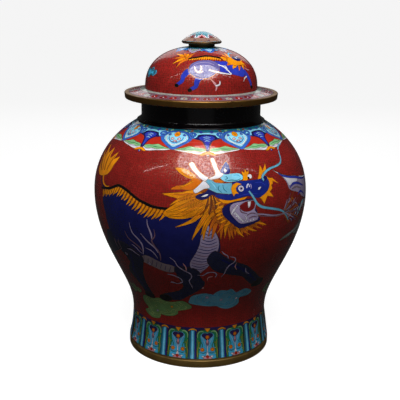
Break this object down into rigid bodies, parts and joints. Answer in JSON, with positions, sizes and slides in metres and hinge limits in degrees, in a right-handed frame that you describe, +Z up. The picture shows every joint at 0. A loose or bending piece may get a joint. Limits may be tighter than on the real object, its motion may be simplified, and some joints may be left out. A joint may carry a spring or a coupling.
{
  "type": "cloisonne lidded jar",
  "caption": "Baluster jar of enamelled copper with a loose domed lid, a dark neck collar, and brass foot and lid bands, decorated with mythical beasts.",
  "frame": {"origin": "middle of the underside of the foot ring, on the surface that the jar stands on", "axes": "+Z up along the jar's turned axis; -Y is the side that the picture shows"},
  "size_m": [0.3332, 0.3332, 0.5],
  "materials": {
    "body_enamel": "polished enamel, brick red with fine brass wires, beasts, clouds and lappets",
    "lid_enamel": "polished enamel, brick red with fine brass wires and a beast",
    "knob_enamel": "polished enamel, turquoise with pale and mauve petals",
    "foot_brass": "aged brass, darker at its lower edge",
    "lid_brass": "aged golden brown brass",
    "knob_brass": "dark aged brass",
    "collar_metal": "blackened metal, smooth and glossy"
  },
  "bodies": {
    "root": {"jar_body": "body_enamel", "foot_ring": "foot_brass", "neck_collar": "collar_metal", "lid_shell": "lid_enamel", "lid_edge_ring": "lid_brass", "lid_locating_ring": "lid_brass", "knob_mount": "knob_brass", "knob_cap": "knob_enamel"}
  },
  "joints": []
}
